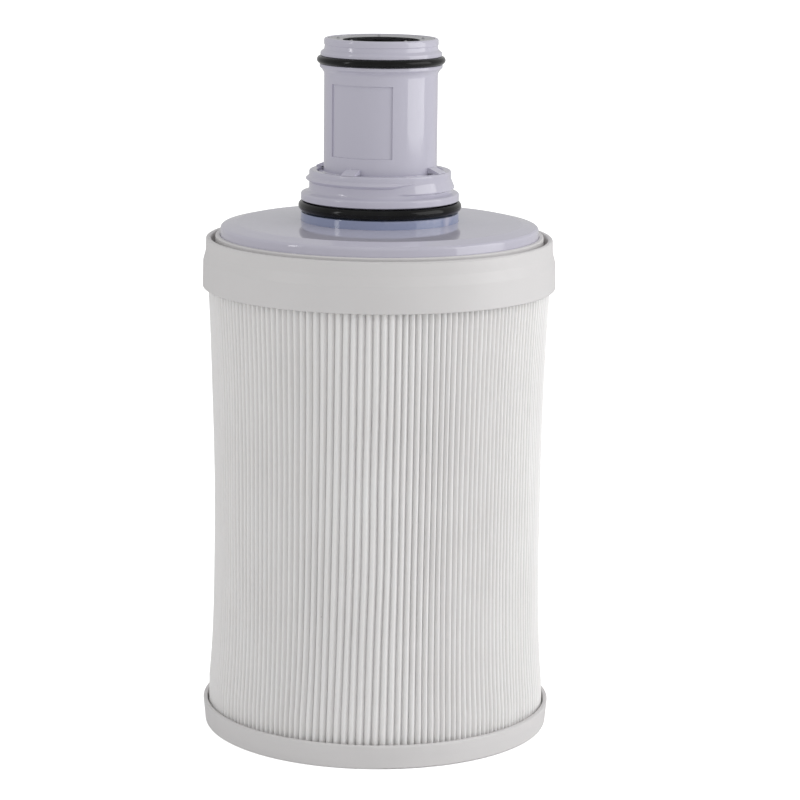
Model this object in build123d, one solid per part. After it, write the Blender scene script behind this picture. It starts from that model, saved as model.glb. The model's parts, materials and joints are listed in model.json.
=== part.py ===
from build123d import *
import os

# Replacement cartridge of a household water purifier, in millimetres.
# +Z is the cartridge's axis, with the outlet neck on top. The origin is the centre of the face it stands on.
# -Y is the front, where the label pocket is. Azimuths are degrees round from the front, positive towards +X.
# Outlines are lists of (radius, height) corners, and a third number rounds that corner.

# Whole cartridge
HEIGHT = 240.0
GAP = 0.05  # between pieces that are bonded or pressed together

# Pleated outer stage
CAP_RADIUS = 60.9
CAP_FOOT_RADIUS = 60.1
CAP_RIM_Z = 8.5
CAP_WALL = 1.5
CAP_FLOOR_Z = 3.2
CAP_RECESS = 1.4
FOOT_INNER_RADIUS = 49.5
BAND_RADIUS = 60.8
BAND_BOTTOM_Z = 154.8
BAND_STEP_Z = 163.85
BAND_RIM_RADIUS = 59.6
BAND_RIM_Z = 171.85
BAND_WALL = 1.5
BAND_DECK_Z = 166.0
BAND_DECK = 2.0
SEAT_RADIUS = 56.4
SEAT_Z = 172.7
PLEAT_INNER_RADIUS = 50.4
PLEAT_END_RADIUS = 58.7
PLEAT_WAIST_RADIUS = 56.95
PLEAT_WAIST_Z = 84.0
POTTING = 3.4
PLEAT_LOW_Z = CAP_FLOOR_Z + POTTING + GAP
PLEAT_HIGH_Z = BAND_DECK_Z - BAND_DECK - POTTING - GAP
CAGE_INNER_RADIUS = 48.5
CAGE_OUTER_RADIUS = 50.1
CAGE_BARS = 16
CAGE_ROWS = 9
CAGE_END = 4.0
WINDOW_WIDTH = 13.0
POT_WALL_RADIUS = 47.5
POT_WALL = 0.8
POT_OUTER_RADIUS = POT_WALL_RADIUS + POT_WALL
CAP_RIBS = 12

# Carbon block inside
BLOCK_RADIUS = 45.0
BLOCK_BORE_RADIUS = 17.2
BLOCK_BOTTOM_Z = 8.0
BLOCK_TOP_Z = 163.0
WRAP = 1.1
NET = 0.8
NET_WIRE = 1.2
NET_RINGS = 15
NET_BARS = 24
GLUE = 1.7
PLATE = 2.4
PLATE_RADIUS = 47.0
PLATE_COLLAR = 7.0  # how far each plate's plug or socket stands off it
SOCKET_RADIUS = 17.6
SOCKET_WALL = 2.0
CORE_RADIUS = 13.5
CORE_OUTER_RADIUS = 15.5
CORE_ROWS = 16
CORE_SLOTS = 8
CORE_SLOT_WIDTH = 4.0
CORE_END = 8.0
CORE_LOW_Z = CAP_FLOOR_Z + GAP + PLATE + GAP
FLEECE_RADIUS = 17.1

# Head cap: a disc on a skirt, with ribs under it, standing inside the band's seat
DISC_RADIUS = 54.8
DISC_EDGE_RADIUS = 54.6
DISC_EDGE_Z = 175.8
DISC_TOP_RADIUS = 49.0
DISC_Z = 177.05
DISC_CROWN_Z = 177.8
DISC_PLATE = 2.8
SKIRT = 2.4
HEAD_RIBS = 12

# Threaded collar: spigot, O-ring groove, land, and the well that the neck stands in
SPIGOT_RADIUS = 27.13
COLLAR_FOOT_RADIUS = 31.0
COLLAR_FOOT = 2.2
LAND_TOP_Z = 187.3
COLLAR_RADIUS = 24.35
COLLAR_TOP_Z = 195.1
WELL_RADIUS = 21.4
WELL_WALL = 2.3
WELL_FLOOR_Z = 183.0
WELL_FLOOR = 4.0
WELL_HOLE_RADIUS = 17.4
THREAD_HEIGHT = 1.25
LOWER_RING_Z = 182.8
LOWER_RING_RADIUS = 28.0
LOWER_CORD = 3.53

# Neck tube
NECK_RADIUS = 19.4
NECK_BORE_RADIUS = 14.5
NECK_END_Z = 168.6
NECK_BASE = 11.4
NECK_FLANGE_RADIUS = 20.95
UPPER_LAND_RADIUS = 20.7
UPPER_RING_Z = 232.6
UPPER_RING_RADIUS = 21.9
UPPER_CORD = 2.62
LIP_RADIUS = 19.5
MOUTH_RADIUS = 13.1
MOUTH_SEAT_RADIUS = 18.2
SEAL_SEAT_RADIUS = 17.0
SEAL_BOTTOM_Z = 232.6
MOUTH_RING_BOTTOM_Z = 237.8
MOUTH_RING_TOP_Z = 239.8
MOUTH_RING_INNER_Z = 239.3
MOUTH_RING_EDGE = 0.4
POCKET_DEPTH = 0.5
POCKET_BOTTOM_Z = 200.6
POCKET_TOP_Z = 224.9
POCKET_CENTRE = -23.0
POCKET_SWEEP = 70.0
GUSSET_AZIMUTHS = [-27.5, 62.5, 152.5, 242.5]
GUSSET_WIDTH = 4.9
GUSSET_TOP_Z = 197.0
BEAD_RADIUS = 0.6
BEAD_RING_RADIUS = 15.0
BEAD_PITCH = 75
SMALL_CORD = 1.78
BASE_RING_RADIUS = 19.3  # to the middle of its cord
CORE_RING_RADIUS = 16.5
CORE_RING_Z = 171.4


def turned(outline):
    """A solid of revolution about Z from (radius, height[, fillet]) corners."""
    corners = [(c[0], c[1]) for c in outline]
    fillets = [c[2] if len(c) > 2 else 0 for c in outline]
    section = make_face(Plane.XZ * FilletPolyline(*corners, radius=fillets, close=True))
    return revolve(section, Axis.Z)


def tube(inner, outer, low, high):
    return turned([(inner, low), (outer, low), (outer, high), (inner, high)])


def towards(azimuth):
    """A frame on the axis whose +X points along the azimuth."""
    return Rot(0, 0, azimuth - 90)


def seal_ring(outer, cord, z):
    return Pos(0, 0, z) * Torus(outer - cord / 2, cord / 2)


# ---- pleated outer stage ----

def bottom_cap():
    inner = CAP_RADIUS - CAP_WALL
    shell = turned([
        (0, CAP_RECESS), (FOOT_INNER_RADIUS, CAP_RECESS, 0.5), (FOOT_INNER_RADIUS + 1, 0, 0.4),
        (CAP_FOOT_RADIUS, 0, 0.8), (CAP_RADIUS, CAP_RIM_Z, 0.5), (inner, CAP_RIM_Z, 0.4),
        (inner - 0.3, CAP_FLOOR_Z, 0.6), (0, CAP_FLOOR_Z)])
    shell += tube(POT_WALL_RADIUS, POT_OUTER_RADIUS, CAP_FLOOR_Z, CAP_FLOOR_Z + POTTING)
    rib = Pos(30, 0, CAP_RECESS - 0.2) * Box(36, 1.4, 1.4)
    for i in range(CAP_RIBS):
        shell += Rot(0, 0, 360 / CAP_RIBS * i) * rib
    shell += tube(11.5, 13.0, CAP_RECESS - 0.9, CAP_RECESS + 0.5)
    return shell - tube(2.0, 3.0, CAP_RECESS - 1, CAP_RECESS + 0.4)


def top_band():
    skirt_inner = BAND_RADIUS - BAND_WALL
    deck_bottom = BAND_DECK_Z - BAND_DECK
    rim_inner = BAND_RIM_RADIUS - BAND_WALL - 0.2
    band = turned([
        (skirt_inner, BAND_BOTTOM_Z, 0.3), (BAND_RADIUS, BAND_BOTTOM_Z, 0.5),
        (BAND_RADIUS - 0.2, BAND_STEP_Z, 1.2), (BAND_RIM_RADIUS + 0.1, BAND_STEP_Z + 3.4, 1.5),
        (BAND_RIM_RADIUS, BAND_RIM_Z, 0.6), (rim_inner, BAND_RIM_Z, 0.5),
        (rim_inner, BAND_DECK_Z, 0.5), (POT_OUTER_RADIUS, BAND_DECK_Z), (POT_OUTER_RADIUS, deck_bottom),
        (skirt_inner, deck_bottom, 0.5)])
    band += tube(POT_WALL_RADIUS, POT_OUTER_RADIUS, deck_bottom - POTTING, BAND_DECK_Z)
    seat_inner = DISC_RADIUS + GAP
    return band + turned([
        (seat_inner, deck_bottom + 0.5), (SEAT_RADIUS, deck_bottom + 0.5), (SEAT_RADIUS, SEAT_Z, 0.5),
        (seat_inner, SEAT_Z, 0.2)])


def pleated_prefilter():
    """The space of the pleated pack: waisted outside, with its folds' inner edges on the cage."""
    outside = Plane.XZ * ThreePointArc(
        (PLEAT_END_RADIUS, PLEAT_LOW_Z), (PLEAT_WAIST_RADIUS, PLEAT_WAIST_Z),
        (PLEAT_END_RADIUS, PLEAT_HIGH_Z))
    inside = Plane.XZ * Polyline(
        (PLEAT_END_RADIUS, PLEAT_HIGH_Z), (PLEAT_INNER_RADIUS, PLEAT_HIGH_Z),
        (PLEAT_INNER_RADIUS, PLEAT_LOW_Z), (PLEAT_END_RADIUS, PLEAT_LOW_Z))
    return revolve(make_face(outside + inside), Axis.Z)


def prefilter_cage():
    """A moulded tube with rows of windows, which the pleats lean on."""
    cage = tube(CAGE_INNER_RADIUS, CAGE_OUTER_RADIUS, PLEAT_LOW_Z, PLEAT_HIGH_Z)
    pitch = (PLEAT_HIGH_Z - PLEAT_LOW_Z - 2 * CAGE_END) / CAGE_ROWS
    window = Box(2 * CAGE_OUTER_RADIUS + 4, WINDOW_WIDTH, pitch - 4)
    for row in range(CAGE_ROWS):
        z = PLEAT_LOW_Z + CAGE_END + pitch * (row + 0.5)
        for i in range(CAGE_BARS // 2):
            cage -= Rot(0, 0, 360 / CAGE_BARS * i) * Pos(0, 0, z) * window
    return cage


def lower_pleat_potting():
    outer = CAP_RADIUS - CAP_WALL - 0.45
    return tube(POT_OUTER_RADIUS + GAP, outer, CAP_FLOOR_Z + 0.4, CAP_FLOOR_Z + POTTING)


def upper_pleat_potting():
    outer = BAND_RADIUS - BAND_WALL - 0.1
    top = BAND_DECK_Z - BAND_DECK
    return tube(POT_OUTER_RADIUS + GAP, outer, top - POTTING, top - 0.4)


# ---- carbon block stage ----

def carbon_block():
    return turned([
        (BLOCK_BORE_RADIUS, BLOCK_BOTTOM_Z), (BLOCK_RADIUS, BLOCK_BOTTOM_Z, 0.8),
        (BLOCK_RADIUS, BLOCK_TOP_Z, 0.8), (BLOCK_BORE_RADIUS, BLOCK_TOP_Z)])


def carbon_wrap():
    inner = BLOCK_RADIUS + 0.1
    return tube(inner, inner + WRAP, BLOCK_BOTTOM_Z + 0.5, BLOCK_TOP_Z - 0.5)


def wrap_netting():
    """A stretched sleeve of hoops and uprights over the wrap."""
    inner = BLOCK_RADIUS + WRAP + 0.15
    outer = inner + NET
    low = BLOCK_BOTTOM_Z + 0.5
    high = BLOCK_TOP_Z - 3.5
    pitch = (high - low - NET_WIRE) / (NET_RINGS - 1)
    upright = Pos(inner + NET / 2, 0, (low + high) / 2) * Box(NET, NET_WIRE, high - low)
    hoops = [Pos(0, 0, pitch * i) * tube(inner, outer, low, low + NET_WIRE) for i in range(NET_RINGS)]
    net = Part() + hoops
    for i in range(NET_BARS):
        net += Rot(0, 0, 360 / NET_BARS * i) * upright
    return net


def block_end_plate():
    """Closes the block's lower end, with a plug that centres the core tube."""
    low = CAP_FLOOR_Z + GAP
    top = low + PLATE
    plug = CORE_RADIUS - 0.1
    return turned([
        (0, low), (PLATE_RADIUS, low, 0.4), (PLATE_RADIUS, top, 0.4), (plug, top),
        (plug, top + PLATE_COLLAR, 1.0), (plug - 2.5, top + PLATE_COLLAR, 1.0),
        (plug - 2.5, top, 0.5), (0, top)])


def lower_block_glue():
    return tube(CORE_OUTER_RADIUS + 0.2, BLOCK_RADIUS + 1, CORE_LOW_Z, BLOCK_BOTTOM_Z - GAP)


def upper_block_glue():
    return tube(CORE_OUTER_RADIUS + 0.2, BLOCK_RADIUS + 1, BLOCK_TOP_Z + GAP, BLOCK_TOP_Z + GLUE)


def block_top_plate():
    """Closes the block's upper end round a socket for the neck tube's lower end."""
    low = BLOCK_TOP_Z + GLUE + GAP
    top = low + PLATE
    socket_outer = SOCKET_RADIUS + SOCKET_WALL
    return turned([
        (CORE_OUTER_RADIUS + 0.1, low), (PLATE_RADIUS, low, 0.4), (PLATE_RADIUS, top, 0.4),
        (socket_outer, top, 0.6), (socket_outer, top + PLATE_COLLAR, 0.5),
        (SOCKET_RADIUS, top + PLATE_COLLAR, 0.4), (SOCKET_RADIUS, top), (CORE_OUTER_RADIUS + 0.1, top)])


def core_tube():
    """A slotted outlet tube down the block's bore."""
    core = tube(CORE_RADIUS, CORE_OUTER_RADIUS, CORE_LOW_Z, BLOCK_TOP_Z + GLUE + PLATE)
    pitch = (BLOCK_TOP_Z - BLOCK_BOTTOM_Z - 2 * CORE_END) / CORE_ROWS
    slot = Box(2 * CORE_OUTER_RADIUS + 4, CORE_SLOT_WIDTH, pitch - 3)
    for row in range(CORE_ROWS):
        z = BLOCK_BOTTOM_Z + CORE_END + pitch * (row + 0.5)
        for i in range(CORE_SLOTS // 2):
            core -= Rot(0, 0, 360 / CORE_SLOTS * i) * Pos(0, 0, z) * slot
    return core


def core_fleece():
    return tube(CORE_OUTER_RADIUS + 0.1, FLEECE_RADIUS, BLOCK_BOTTOM_Z + 0.5, BLOCK_TOP_Z - 0.5)


# ---- head ----

def head_cap():
    """A crowned disc with a rolled edge, on a skirt with ribs inside."""
    plate_bottom = DISC_Z - DISC_PLATE
    skirt_inner = DISC_RADIUS - SKIRT
    hole = SPIGOT_RADIUS + GAP
    head = turned([
        (skirt_inner, BAND_DECK_Z + GAP), (DISC_RADIUS, BAND_DECK_Z + GAP),
        (DISC_RADIUS, SEAT_Z - 1), (DISC_EDGE_RADIUS, DISC_EDGE_Z, 1.2), (DISC_TOP_RADIUS, DISC_Z, 3.0),
        (hole, DISC_CROWN_Z), (hole, plate_bottom), (skirt_inner, plate_bottom, 0.8)])
    rib_start = COLLAR_FOOT_RADIUS + 0.5
    rib_length = skirt_inner + 0.3 - rib_start
    rib = Pos(rib_start + rib_length / 2, 0, plate_bottom - 2.5) * Box(rib_length, 1.6, 5.4)
    for i in range(HEAD_RIBS):
        head += Rot(0, 0, 360 / HEAD_RIBS * i) * rib
    return head


def collar_body():
    groove_low = LOWER_RING_Z - 2.1
    groove_high = LOWER_RING_Z + 2.1
    groove_floor = LOWER_RING_RADIUS - LOWER_CORD - GAP
    foot_top = DISC_Z - DISC_PLATE - GAP
    well_outer = WELL_RADIUS + WELL_WALL
    return turned([
        (COLLAR_FOOT_RADIUS, foot_top - COLLAR_FOOT, 0.4), (COLLAR_FOOT_RADIUS, foot_top, 0.4),
        (SPIGOT_RADIUS, foot_top), (SPIGOT_RADIUS, groove_low, 0.25), (groove_floor, groove_low, 0.3),
        (groove_floor, groove_high, 0.3), (SPIGOT_RADIUS, groove_high, 0.25),
        (SPIGOT_RADIUS, LAND_TOP_Z, 0.7), (COLLAR_RADIUS, LAND_TOP_Z + 0.7, 1.3),
        (COLLAR_RADIUS, COLLAR_TOP_Z, 0.7), (WELL_RADIUS, COLLAR_TOP_Z, 0.6),
        (WELL_RADIUS, WELL_FLOOR_Z), (WELL_HOLE_RADIUS, WELL_FLOOR_Z),
        (WELL_HOLE_RADIUS, WELL_FLOOR_Z - WELL_FLOOR), (well_outer, WELL_FLOOR_Z - WELL_FLOOR, 0.5),
        (well_outer, foot_top - COLLAR_FOOT, 0.4)])


def ridge(first, last, tip_z, lower, upper, run_out, end_rise=0.0):
    """A ridge round the collar, whose height and width run out to nothing at both ends."""
    root = COLLAR_RADIUS - 0.35
    start = COLLAR_RADIUS - 0.25
    stations = max(8, round((last - first) / 9))
    sections = []
    for i in range(stations + 1):
        azimuth = first + (last - first) * i / stations
        into = min(azimuth - first, last - azimuth) / run_out
        share = max(0.02, min(1.0, into)) ** 0.7
        z = tip_z + end_rise * max(0.0, 1 - (last - azimuth) / run_out) ** 1.5
        tip = start + (COLLAR_RADIUS + THREAD_HEIGHT - start) * share
        outline = [
            (root, z - lower * share), (tip - 0.12, z - 0.12), (tip - 0.12, z + 0.15),
            (root, z + upper * share)]
        sections.append(towards(azimuth) * make_face(Plane.XZ * Polyline(*outline, close=True)))
    return loft(sections)


def threaded_collar():
    collar = collar_body()
    collar -= tube(BASE_RING_RADIUS - 1, BASE_RING_RADIUS + 1, WELL_FLOOR_Z - 1.85, WELL_FLOOR_Z + 1)
    collar += ridge(-172, 31, 192.1, 1.4, 1.4, 26, end_rise=0.9)
    collar += ridge(11, 176, 189.35, 0.9, 3.9, 22)
    return collar


def lower_o_ring():
    return seal_ring(LOWER_RING_RADIUS, LOWER_CORD, LOWER_RING_Z)


# ---- neck ----

def neck_body():
    groove_low = UPPER_RING_Z - 1.38
    groove_high = UPPER_RING_Z + 1.38
    groove_floor = UPPER_RING_RADIUS - UPPER_CORD - GAP
    shank = WELL_HOLE_RADIUS - 0.15
    base = WELL_RADIUS - 0.15
    base_top = WELL_FLOOR_Z + NECK_BASE
    return turned([
        (NECK_BORE_RADIUS, NECK_END_Z), (shank, NECK_END_Z, 0.6),
        (shank, CORE_RING_Z - 1), (shank - 1.7, CORE_RING_Z - 1), (shank - 1.7, CORE_RING_Z + 1),
        (shank, CORE_RING_Z + 1), (shank, WELL_FLOOR_Z + GAP), (base, WELL_FLOOR_Z + GAP),
        (base, base_top, 0.4), (NECK_RADIUS, base_top, 0.5),
        (NECK_RADIUS, 228.2, 2.2), (20.2, 229.4, 0.3), (NECK_FLANGE_RADIUS, 230.1, 0.4),
        (NECK_FLANGE_RADIUS, groove_low, 0.2), (groove_floor, groove_low, 0.2),
        (groove_floor, groove_high, 0.2), (UPPER_LAND_RADIUS, groove_high, 0.2),
        (UPPER_LAND_RADIUS, 235.2, 0.5), (NECK_RADIUS + 0.05, 236.2, 0.5),
        (NECK_RADIUS - 0.15, 237.6, 0.2), (LIP_RADIUS, 237.8, 0.3), (LIP_RADIUS, HEIGHT, 0.85),
        (MOUTH_SEAT_RADIUS, HEIGHT, 0.3), (MOUTH_SEAT_RADIUS, MOUTH_RING_BOTTOM_Z - GAP),
        (SEAL_SEAT_RADIUS, MOUTH_RING_BOTTOM_Z - GAP), (SEAL_SEAT_RADIUS, SEAL_BOTTOM_Z),
        (NECK_BORE_RADIUS, SEAL_BOTTOM_Z)])


def label_pocket():
    """A shallow pocket that follows the neck's curve, with sides cut square to it."""
    inner = NECK_RADIUS - POCKET_DEPTH
    section = Plane.XZ * Polyline(
        (inner, POCKET_BOTTOM_Z), (inner + 2, POCKET_BOTTOM_Z - 0.35), (inner + 2, POCKET_TOP_Z + 0.35),
        (inner, POCKET_TOP_Z), close=True)
    pocket = revolve(make_face(section), Axis.Z, revolution_arc=POCKET_SWEEP)
    return towards(POCKET_CENTRE - POCKET_SWEEP / 2) * pocket


def gusset(azimuth):
    """A lug between the neck and the collar's rim, sloping down outwards."""
    rim = COLLAR_TOP_Z + GAP
    outline = Plane.XZ * Polyline(
        (NECK_RADIUS - 1, rim), (COLLAR_RADIUS - 0.7, rim), (COLLAR_RADIUS - 0.7, rim + 0.3),
        (NECK_RADIUS + 0.5, GUSSET_TOP_Z), (NECK_RADIUS - 1, GUSSET_TOP_Z), close=True)
    lug = extrude(make_face(outline), GUSSET_WIDTH / 2, both=True)
    return towards(azimuth) * lug


def neck_tube():
    neck = neck_body()
    neck -= label_pocket()
    for azimuth in GUSSET_AZIMUTHS:
        neck += gusset(azimuth)
    return neck


def neck_mouth_ring():
    """Retains the mouth seal: a lead-in cone with small beads on it."""
    outer = MOUTH_SEAT_RADIUS - 0.12
    ring = turned([
        (MOUTH_RADIUS, MOUTH_RING_INNER_Z - MOUTH_RING_EDGE), (MOUTH_RADIUS + 2, MOUTH_RING_BOTTOM_Z),
        (outer, MOUTH_RING_BOTTOM_Z), (outer, MOUTH_RING_TOP_Z, 0.2), (MOUTH_RADIUS, MOUTH_RING_INNER_Z, 0.15)])
    bead = Pos(BEAD_RING_RADIUS, 0, HEIGHT - BEAD_RADIUS) * Sphere(BEAD_RADIUS)
    for azimuth in range(-42, 318, BEAD_PITCH):
        ring += towards(azimuth) * bead
    return ring


def neck_mouth_seal():
    outer = SEAL_SEAT_RADIUS - GAP
    return tube(MOUTH_RADIUS, outer, SEAL_BOTTOM_Z + GAP, MOUTH_RING_BOTTOM_Z - GAP)


def upper_o_ring():
    return seal_ring(UPPER_RING_RADIUS, UPPER_CORD, UPPER_RING_Z)


def neck_seal_ring():
    return Pos(0, 0, WELL_FLOOR_Z - SMALL_CORD / 2) * Torus(BASE_RING_RADIUS, SMALL_CORD / 2)


def core_seal_ring():
    return Pos(0, 0, CORE_RING_Z) * Torus(CORE_RING_RADIUS, SMALL_CORD / 2)


SUBPARTS = [
    bottom_cap, top_band, pleated_prefilter, prefilter_cage, lower_pleat_potting, upper_pleat_potting,
    carbon_block, carbon_wrap, wrap_netting, block_end_plate, block_top_plate, lower_block_glue,
    upper_block_glue, core_tube, core_fleece, head_cap, threaded_collar, neck_tube, neck_mouth_ring,
    neck_mouth_seal, lower_o_ring, upper_o_ring, neck_seal_ring, core_seal_ring]

os.makedirs("parts", exist_ok=True)
for subpart in SUBPARTS:
    export_step(subpart(), f"parts/{subpart.__name__}.step")
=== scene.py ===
import json
import math

import bpy
import numpy as np
from mathutils import Matrix, Vector


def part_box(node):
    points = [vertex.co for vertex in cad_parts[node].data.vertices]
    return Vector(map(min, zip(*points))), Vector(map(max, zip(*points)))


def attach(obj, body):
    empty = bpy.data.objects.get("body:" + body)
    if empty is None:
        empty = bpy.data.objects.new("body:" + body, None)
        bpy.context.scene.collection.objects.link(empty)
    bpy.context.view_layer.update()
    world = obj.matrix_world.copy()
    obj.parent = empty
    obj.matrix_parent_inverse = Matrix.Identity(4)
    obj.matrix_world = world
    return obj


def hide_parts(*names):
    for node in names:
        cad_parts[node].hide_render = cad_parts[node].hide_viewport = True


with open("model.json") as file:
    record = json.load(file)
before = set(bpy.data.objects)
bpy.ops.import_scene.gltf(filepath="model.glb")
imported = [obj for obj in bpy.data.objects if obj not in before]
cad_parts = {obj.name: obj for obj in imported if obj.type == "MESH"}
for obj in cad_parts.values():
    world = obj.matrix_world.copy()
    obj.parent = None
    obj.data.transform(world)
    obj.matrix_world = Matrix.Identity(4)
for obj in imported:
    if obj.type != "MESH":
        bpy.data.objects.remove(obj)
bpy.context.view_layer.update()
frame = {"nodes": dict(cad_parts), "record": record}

# A pleated water filter cartridge standing on a pale floor, seen from slightly above.
# Everything is in metres, in the CAD model's frame: +Z up, -Y the front.

MM = 0.001
rng = np.random.default_rng(20)


# ---------------------------------------------------------------- camera, lights, stage

CAMERA_DISTANCE = 0.9943
CAMERA_HEIGHT = 0.3130
# Degrees: down from level, round to the right, and about the line of sight
CAMERA_PITCH = 11.284
CAMERA_YAW = 0.44
CAMERA_ROLL = 0.62
CAMERA_LENS = 131.15
CAMERA_SENSOR = 36.0

# Both soft boxes stand this far from the point they aim at, half way up the cartridge
LIGHT_DISTANCE = 1.3
LIGHT_ELEVATION = 20
LIGHT_AIM = Vector((0, 0, 0.12))
KEY_AZIMUTH = 77
KEY_SIZE = (1.1, 1.1)
KEY_POWER = 7.0
FILL_AZIMUTH = -64
FILL_SIZE = (0.15, 0.7)
FILL_POWER = 1.5
AMBIENT = 0.575

FLOOR_SIDE = 16.0
FLOOR_CELLS = 16
# The floor's own light, which only the camera sees
FLOOR_GLOW = 0.75


def add_camera():
    data = bpy.data.cameras.new("camera")
    data.sensor_width = CAMERA_SENSOR
    data.lens = CAMERA_LENS
    data.clip_start = 0.05
    data.clip_end = 60.0
    camera = bpy.data.objects.new("camera", data)
    bpy.context.scene.collection.objects.link(camera)
    turn = Matrix.Rotation(math.radians(-CAMERA_YAW), 4, "Z")
    turn @= Matrix.Rotation(math.radians(90 - CAMERA_PITCH), 4, "X")
    turn @= Matrix.Rotation(math.radians(CAMERA_ROLL), 4, "Z")
    camera.matrix_world = Matrix.Translation((0, -CAMERA_DISTANCE, CAMERA_HEIGHT)) @ turn
    bpy.context.scene.camera = camera


def add_light(name, azimuth, size, power):
    """A soft box at an azimuth from the front, positive to the right."""
    data = bpy.data.lights.new(name, "AREA")
    data.shape = "RECTANGLE"
    data.size, data.size_y = size
    data.energy = power
    light = bpy.data.objects.new(name, data)
    bpy.context.scene.collection.objects.link(light)
    a, e = math.radians(azimuth), math.radians(LIGHT_ELEVATION)
    away = Vector((math.sin(a) * math.cos(e), -math.cos(a) * math.cos(e), math.sin(e)))
    light.location = LIGHT_AIM + away * LIGHT_DISTANCE
    light.rotation_mode = "QUATERNION"
    light.rotation_quaternion = away.to_track_quat("Z", "Y")


def add_world():
    """Even white light all round, brighter where the camera sees it directly."""
    world = bpy.data.worlds.new("studio")
    world.use_nodes = True
    tree = world.node_tree
    background = tree.nodes["Background"]
    background.inputs["Color"].default_value = (1, 1, 1, 1)
    path = tree.nodes.new("ShaderNodeLightPath")
    strength = tree.nodes.new("ShaderNodeMapRange")
    strength.inputs["To Min"].default_value = AMBIENT
    strength.inputs["To Max"].default_value = 1.0
    tree.links.new(path.outputs["Is Camera Ray"], strength.inputs["Value"])
    tree.links.new(strength.outputs["Result"], background.inputs["Strength"])
    bpy.context.scene.world = world


def add_floor():
    """A wide pale sweep, lit up a little so that it stays near white."""
    row = FLOOR_CELLS + 1
    steps = np.linspace(-FLOOR_SIDE / 2, FLOOR_SIDE / 2, row)
    points = [(x, y, 0.0) for y in steps for x in steps]
    faces = [(j * row + i, j * row + i + 1, (j + 1) * row + i + 1, (j + 1) * row + i)
             for j in range(FLOOR_CELLS) for i in range(FLOOR_CELLS)]
    mesh = bpy.data.meshes.new("floor")
    mesh.from_pydata(points, [], faces)
    floor = bpy.data.objects.new("floor", mesh)
    bpy.context.scene.collection.objects.link(floor)
    look = Look("floor_paper", {"Roughness": 0.9, "Specular IOR Level": 0.1})
    grain = look.noise(300, 3)
    look.colour(grain, (0.91, 0.91, 0.91), (0.94, 0.94, 0.94))
    look.shader.inputs["Emission Color"].default_value = (1, 1, 1, 1)
    path = look.add("ShaderNodeLightPath")
    glow = look.scaled(path.outputs["Is Camera Ray"], 0.0, 1.0, 0.0, FLOOR_GLOW)
    look.wire(glow, "Emission Strength")
    mesh.materials.append(look.material)


# ---------------------------------------------------------------- materials

WHITE = (0.755, 0.74, 0.74)
WHITE_SHADE = (0.73, 0.715, 0.715)
WHITE_IOR = 1.49
# Tint, shade, roughness, IOR and peel of the glossy head plastic
LAVENDER_LOOK = ((0.60, 0.585, 0.68), (0.588, 0.573, 0.67), 0.055, 1.62, 0.001)
# Below this height, on the spigot under the lower O-ring, the plastic is painted a darker, bluer colour:
# painted shade from the O-ring and a painted reflection of the disc
SPIGOT_Z = 0.1815
SPIGOT_PAINTED_SHADE = (0.30, 0.34, 0.50)
# The mouth ring's inner edge, within this radius, is painted near black: painted shade for the dark of
# the bore
MOUTH_BORE = 13.35 * MM
BORE_PAINTED_SHADE = (0.02, 0.02, 0.021)
DUST = (0.42, 0.40, 0.38)
FIBRE_SPECK = (0.62, 0.61, 0.60)
# Over this height or radius, the plain colour gives way to the painted shade
FOOT_FADE = 0.3 * MM
BORE_FADE = 0.1 * MM


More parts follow.
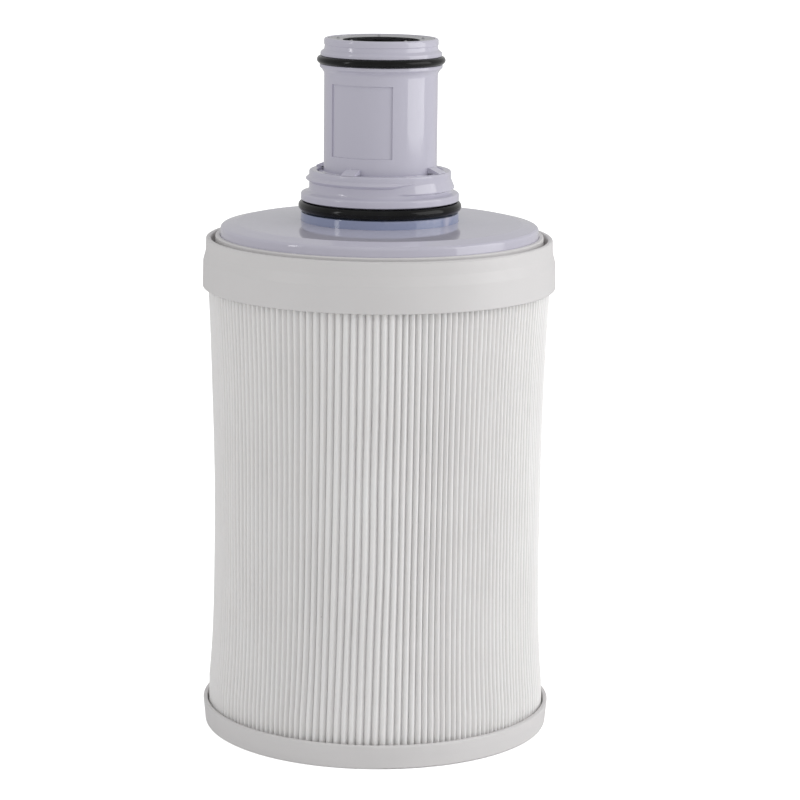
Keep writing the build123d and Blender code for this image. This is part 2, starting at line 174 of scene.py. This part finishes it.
class Look:
    """A procedural material: a Principled shader and the nodes that feed it."""

    def __init__(self, name, sockets):
        self.material = bpy.data.materials.new(name)
        self.material.use_nodes = True
        self.tree = self.material.node_tree
        self.shader = self.tree.nodes["Principled BSDF"]
        self.coords = self.add("ShaderNodeTexCoord").outputs["Object"]
        self.normal = None
        for socket, value in sockets.items():
            self.shader.inputs[socket].default_value = value

    def add(self, kind, **settings):
        node = self.tree.nodes.new(kind)
        for key, value in settings.items():
            setattr(node, key, value)
        return node

    def wire(self, output, socket):
        target = self.shader.inputs[socket] if isinstance(socket, str) else socket
        self.tree.links.new(output, target)

    def stretched(self, stretch, turn=(0, 0, 0)):
        mapping = self.add("ShaderNodeMapping")
        mapping.inputs["Scale"].default_value = stretch
        mapping.inputs["Rotation"].default_value = turn
        self.wire(self.coords, mapping.inputs["Vector"])
        return mapping.outputs["Vector"]

    def noise(self, scale, detail=2.0, roughness=0.5, coords=None):
        node = self.add("ShaderNodeTexNoise")
        node.inputs["Scale"].default_value = scale
        node.inputs["Detail"].default_value = detail
        node.inputs["Roughness"].default_value = roughness
        self.wire(coords or self.coords, node.inputs["Vector"])
        return node.outputs["Fac"]

    def scaled(self, value, low, high, to_low, to_high):
        node = self.add("ShaderNodeMapRange")
        ends = {"From Min": low, "From Max": high, "To Min": to_low, "To Max": to_high}
        for socket, number in ends.items():
            node.inputs[socket].default_value = number
        self.wire(value, node.inputs["Value"])
        return node.outputs["Result"]

    def maths(self, operation, a, b):
        node = self.add("ShaderNodeMath", operation=operation)
        for socket, value in zip(node.inputs, (a, b)):
            if isinstance(value, (int, float)):
                socket.default_value = value
            else:
                self.wire(value, socket)
        return node.outputs["Value"]

    def blend(self, share, a, b):
        """Colour a where share is 0 and b where it is 1."""
        node = self.add("ShaderNodeMix", data_type="RGBA")
        self.wire(share, node.inputs[0])
        for socket, value in ((node.inputs[6], a), (node.inputs[7], b)):
            if isinstance(value, tuple):
                socket.default_value = (*value, 1)
            else:
                self.wire(value, socket)
        return node.outputs[2]

    def colour(self, share, a, b):
        self.wire(self.blend(share, a, b), "Base Color")

    def bump(self, height, distance, strength=1.0):
        """Adds relief of this many metres to the relief so far."""
        node = self.add("ShaderNodeBump")
        node.inputs["Distance"].default_value = distance
        node.inputs["Strength"].default_value = strength
        self.wire(height, node.inputs["Height"])
        if self.normal:
            self.wire(self.normal, node.inputs["Normal"])
        self.normal = node.outputs["Normal"]
        self.wire(self.normal, "Normal")

    def specks(self, scale, size, share):
        """1 inside small sparse dots, 0 elsewhere."""
        cells = self.add("ShaderNodeTexVoronoi")
        cells.inputs["Scale"].default_value = scale
        self.wire(self.coords, cells.inputs["Vector"])
        near = self.scaled(cells.outputs["Distance"], size * 0.6, size, 1, 0)
        chosen = self.maths("GREATER_THAN", self.red(cells.outputs["Color"]), 1 - share)
        return self.maths("MULTIPLY", near, chosen)

    def red(self, colour):
        node = self.add("ShaderNodeSeparateColor")
        self.wire(colour, node.inputs["Color"])
        return node.outputs["Red"]

    def scuffs(self, scale, turn):
        """Thin faint scratches that run one way."""
        coords = self.stretched((1, 1, 0.06), turn)
        lines = self.noise(scale, 2.0, 0.6, coords)
        patches = self.noise(35, 1.0)
        thin = self.scaled(lines, 0.66, 0.70, 0, 1)
        return self.maths("MULTIPLY", thin, self.scaled(patches, 0.5, 0.62, 0, 1))

    def edges(self):
        """1 along outward edges, where handling polishes them."""
        geometry = self.add("ShaderNodeNewGeometry")
        return self.scaled(geometry.outputs["Pointiness"], 0.52, 0.58, 0, 1)


def moulded(name, tint, shade, roughness, ior, peel=0.015, shaded_foot=None, shaded_bore=None):
    """Moulded plastic: mottled colour, orange peel, scuffs, rubbed edges and a few dust specks.

    peel is the orange peel's height in mm. The shaded foot is a height and a colour: below that height
    the plastic is painted that colour, as painted shade and a painted reflection. The shaded bore is a
    radius, and within it the plastic is painted dark, as painted shade.
    """
    look = Look(name, {"IOR": ior})
    mottle = look.noise(28, 3, 0.55)
    base = look.blend(look.scaled(mottle, 0.35, 0.65, 0, 1), tint, shade)
    # Within the bore radius the plastic is painted near black: painted shade of the bore
    if shaded_bore:
        across = look.add("ShaderNodeVectorMath", operation="LENGTH")
        look.wire(look.stretched((1, 1, 0)), across.inputs[0])
        bore_shade_mask = look.scaled(across.outputs["Value"], shaded_bore, shaded_bore - BORE_FADE, 0, 1)
        base = look.blend(bore_shade_mask, base, BORE_PAINTED_SHADE)
    # Below the foot's height the plastic is painted a darker, bluer colour: painted shade and a painted
    # reflection
    if shaded_foot:
        below, painted_foot_shade = shaded_foot
        height = look.add("ShaderNodeSeparateXYZ")
        look.wire(look.coords, height.inputs["Vector"])
        low = look.scaled(height.outputs["Z"], below, below - FOOT_FADE, 0, 1)
        base = look.blend(low, base, painted_foot_shade)
    scuffs = look.maths("MAXIMUM", look.scuffs(2400, (0.3, 0.2, 0.4)), look.scuffs(1900, (1.4, 0.5, 0.2)))
    edges = look.edges()
    lighter = tuple(min(1.0, c * 1.06) for c in tint)
    base = look.blend(look.maths("MULTIPLY", edges, 0.6), base, lighter)
    base = look.blend(look.maths("MULTIPLY", scuffs, 0.10), base, lighter)
    base = look.blend(look.specks(70, 0.022, 0.10), base, DUST)
    look.wire(base, "Base Color")
    fine = look.noise(900, 2)
    rough = look.scaled(look.noise(120, 3), 0.3, 0.7, roughness - 0.05, roughness + 0.06)
    rough = look.maths("ADD", rough, look.maths("MULTIPLY", scuffs, 0.06))
    rough = look.maths("SUBTRACT", rough, look.maths("MULTIPLY", edges, 0.05))
    look.wire(rough, "Roughness")
    look.bump(fine, peel * MM)
    look.bump(look.noise(60, 2), 0.03 * MM)
    look.bump(scuffs, -0.004 * MM)
    return look.material


def fibres(name, light, dark, relief, sheen, glow=0.0):
    """Nonwoven: matted fibres, fuzz, a slightly uneven density, and glow for how far light soaks in."""
    look = Look(name, {
        "Roughness": 0.95, "Sheen Weight": sheen, "Sheen Roughness": 0.6, "Specular IOR Level": 0.2,
        "Subsurface Weight": glow, "Subsurface Scale": 0.6 * MM, "Subsurface Radius": (1.0, 0.98, 0.96)})
    mat_a = look.noise(1500, 4, 0.65, look.stretched((1, 1, 0.45), (0.5, 0.3, 0)))
    mat_b = look.noise(1700, 4, 0.65, look.stretched((1, 1, 0.45), (-0.6, 0.2, 0)))
    mat = look.maths("MULTIPLY", look.maths("ADD", mat_a, mat_b), 0.5)
    cloud = look.noise(45, 3)
    tone = look.maths("ADD", look.maths("MULTIPLY", mat, 0.6), look.maths("MULTIPLY", cloud, 0.4))
    base = look.blend(look.scaled(tone, 0.40, 0.60, 0, 1), dark, light)
    base = look.blend(look.specks(110, 0.030, 0.05), base, FIBRE_SPECK)
    look.wire(base, "Base Color")
    look.bump(mat, relief * MM)
    return look.material


def rubber():
    """Black seal rubber with a faint smear of grease."""
    look = Look("nitrile_rubber", {"Specular IOR Level": 0.2})
    smear = look.noise(160, 3, 0.6, look.stretched((1, 1, 0.5)))
    look.colour(look.scaled(smear, 0.35, 0.7, 0, 1), (0.004, 0.004, 0.004), (0.010, 0.010, 0.010))
    look.wire(look.scaled(smear, 0.3, 0.7, 0.11, 0.19), "Roughness")
    look.bump(look.noise(1400, 3), 0.003 * MM)
    look.bump(look.noise(220, 2), 0.010 * MM)
    return look.material


def resin():
    """Cast resin, swirled and slightly translucent."""
    look = Look("potting_resin", {"Subsurface Weight": 0.1, "Subsurface Scale": 0.002})
    swirl = look.noise(90, 4)
    look.colour(look.scaled(swirl, 0.35, 0.65, 0, 1), (0.74, 0.72, 0.66), (0.80, 0.79, 0.74))
    look.wire(look.scaled(swirl, 0.3, 0.7, 0.35, 0.5), "Roughness")
    look.bump(look.noise(260, 2), 0.12 * MM)
    return look.material


def carbon():
    """Pressed carbon grit."""
    look = Look("pressed_carbon", {"Specular IOR Level": 0.3})
    grit = look.noise(1600, 4, 0.7)
    look.colour(look.scaled(grit, 0.35, 0.65, 0, 1), (0.012, 0.012, 0.013), (0.05, 0.05, 0.052))
    look.wire(look.scaled(grit, 0.3, 0.7, 0.7, 0.95), "Roughness")
    look.bump(grit, 0.15 * MM)
    look.bump(look.noise(300, 2), 0.2 * MM)
    return look.material


# ---------------------------------------------------------------- pleated sleeve

PLEATS = 170
PLEAT_ROWS = 36
WAIST_Z = 0.076
WAIST_RADIUS = 56.9 * MM
# The sleeve's radius grows by the flare at these distances above and below the waist
PLEAT_FLARE = 1.8 * MM
FLARE_ABOVE = 0.076
FLARE_BELOW = 0.061
PLEAT_MOUTH_RADIUS = 58.75 * MM
# Where the pleats are further apart or closer: (azimuth, spread in degrees, share added to the pitch)
PITCH_SWELLS = ((-14, 18, 0.20), (38, 24, -0.13))
# The pleats left of the front drift left towards the bottom, by this many degrees of azimuth
DRIFT, DRIFT_AZIMUTH, DRIFT_SPREAD = -2.4, -14, 22
SWAY = 0.5
RIDGE_WAVER = 0.09
TIP_WAVER = 0.10 * MM
TIP_LOW, TIP_HIGH = -0.3 * MM, 0.2 * MM
# Half a pleat from its ridge to its valley: (share of the half pitch, depth below the ridge in mm)
HALF_PLEAT = (
    (0.0, 0.0), (0.20, 0.05), (0.36, 0.20), (0.50, 0.48), (0.60, 0.80), (0.72, 1.15), (0.86, 1.42),
    (0.985, 1.60), (1.0, 6.2))


def wavering(rows, knots, size):
    """Smooth random curves up the sleeve, one for each pleat, alike in neighbouring pleats."""
    values = rng.normal(0, 1, (PLEATS, knots))
    values = (values + np.roll(values, 1, 0) + np.roll(values, -1, 0)) / math.sqrt(3)
    at = np.linspace(0, knots - 1, rows)
    low = np.minimum(at.astype(int), knots - 2)
    share = at - low
    share = share * share * (3 - 2 * share)
    return size * (values[:, low] * (1 - share) + values[:, low + 1] * share)


def ridge_azimuths(heights):
    """Each pleat's azimuth in degrees at each height, from the front."""
    count = np.arange(PLEATS)
    guess = 360 * count / PLEATS - 180
    pitch = np.ones(PLEATS)
    for swell_azimuth, spread, change in PITCH_SWELLS:
        pitch += change * np.exp(-((guess - swell_azimuth) / spread) ** 2)
    pitch *= rng.uniform(0.93, 1.07, PLEATS)
    azimuth = np.cumsum(pitch)
    azimuth = 360 * azimuth / azimuth[-1] - 180
    low, high = heights[0], heights[-1]
    down = np.clip((high - heights) / (high - low), 0, 1)
    drift = DRIFT * np.outer(np.exp(-((azimuth - DRIFT_AZIMUTH) / DRIFT_SPREAD) ** 2), down ** 1.3)
    sway = SWAY * np.outer(np.sin(np.radians(azimuth * 3 + 40)), np.sin(3.1 * down + 0.6))
    return azimuth[:, None] + drift + sway + wavering(len(heights), 6, RIDGE_WAVER)


def sleeve_radius(heights):
    """The radius of the pleats' ridges at each height."""
    up = np.clip((heights - WAIST_Z) / FLARE_ABOVE, 0, None) ** 2.25
    down = np.clip((WAIST_Z - heights) / FLARE_BELOW, 0, None) ** 3.0
    return np.minimum(WAIST_RADIUS + PLEAT_FLARE * (up + down), PLEAT_MOUTH_RADIUS)


def pleat_grid(heights):
    """Points of the folded sheet: columns round the sleeve, rows up it."""
    ridges = ridge_azimuths(heights)
    after = np.roll(ridges, -1, 0)
    after[-1] += 360
    before = np.roll(ridges, 1, 0)
    before[0] -= 360
    uneven = np.clip(wavering(PLEAT_ROWS, 5, TIP_WAVER), TIP_LOW, TIP_HIGH)
    tips = np.minimum(sleeve_radius(heights) + uneven, PLEAT_MOUTH_RADIUS + 0.1 * MM)
    fullness = rng.uniform(0.90, 1.10, (PLEATS, 1))
    lean = wavering(PLEAT_ROWS, 4, 0.05)
    columns = []
    for side, neighbour in ((-1, before), (1, after)):
        half = HALF_PLEAT[::-1] if side < 0 else HALF_PLEAT[1:-1]
        for share, depth in half:
            wide = share + share * (fullness - 1) * 2 * (1 - share) + side * lean * (1 - share)
            azimuth = ridges + (neighbour - ridges) / 2 * wide
            radius = tips - depth * MM
            if share == 1.0:
                radius = (tips + np.roll(tips, 1, 0)) / 2 - depth * MM
            columns.append((azimuth, radius))
    azimuth = np.radians(np.stack([c[0] for c in columns], 1))
    radius = np.stack([c[1] for c in columns], 1)
    points = np.stack([
        radius * np.sin(azimuth), -radius * np.cos(azimuth),
        np.broadcast_to(heights, radius.shape)], -1)
    return points.reshape(-1, PLEAT_ROWS, 3)


def pleated_media():
    """The sleeve's sheet, closed into a ring of folds."""
    low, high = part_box("pleated_prefilter")
    points = pleat_grid(np.linspace(low.z, high.z, PLEAT_ROWS))
    around = len(points)
    index = np.arange(around * PLEAT_ROWS).reshape(around, PLEAT_ROWS)
    right = np.roll(index, -1, 0)
    faces = np.stack([index[:, :-1], right[:, :-1], right[:, 1:], index[:, 1:]], -1).reshape(-1, 4)
    mesh = bpy.data.meshes.new("pleated_media")
    mesh.from_pydata(points.reshape(-1, 3).tolist(), [], faces.tolist())
    mesh.shade_smooth()
    media = bpy.data.objects.new("pleated_media", mesh)
    bpy.context.scene.collection.objects.link(media)
    mesh.materials.append(fibres(
        "pleated_media", (0.93, 0.92, 0.915), (0.895, 0.885, 0.88), relief=0.03, sheen=0.05, glow=0.6))
    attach(media, "root")
    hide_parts("pleated_prefilter")


# ---------------------------------------------------------------- the carried-over pieces

def dress():
    """Gives every CAD node its material."""
    looks = {
        "white_plastic": moulded("white_polypropylene", WHITE, WHITE_SHADE, 0.40, WHITE_IOR),
        "lavender_plastic": moulded("lavender_plastic", *LAVENDER_LOOK),
        # The mouth ring's plastic is painted near black within its bore: painted shade
        "mouth_plastic": moulded(
            "mouth_plastic", (0.40, 0.40, 0.42), (0.36, 0.36, 0.38), 0.25, 1.52, 0.008, shaded_bore=MOUTH_BORE),
        "net_plastic": moulded("net_plastic", (0.76, 0.78, 0.80), (0.72, 0.74, 0.76), 0.40, WHITE_IOR),
        "pleated_media": fibres("sleeve_core", (0.88, 0.88, 0.87), (0.82, 0.82, 0.81), 0.05, 0.05),
        "fleece": fibres("fleece_wrap", (0.80, 0.80, 0.78), (0.68, 0.68, 0.66), 0.20, 0.2),
        "black_rubber": rubber(),
        "potting_resin": resin(),
        "carbon": carbon(),
    }
    # The collar's plastic is painted darker and bluer on the spigot below the lower O-ring: painted shade
    # and a painted reflection of the disc
    painted_shade_collar = moulded("collar_plastic_painted_shade", *LAVENDER_LOOK, shaded_foot=(SPIGOT_Z, SPIGOT_PAINTED_SHADE))
    for part in frame["record"]["subparts"]:
        for slot in frame["nodes"][part["node"]].material_slots:
            slot.material = painted_shade_collar if part["node"] == "threaded_collar" else looks[part["material_slot"]]


bpy.context.scene.view_settings.view_transform = "Standard"
add_camera()
add_world()
add_floor()
add_light("key_right", KEY_AZIMUTH, KEY_SIZE, KEY_POWER)
add_light("fill_left", FILL_AZIMUTH, FILL_SIZE, FILL_POWER)
dress()
pleated_media()
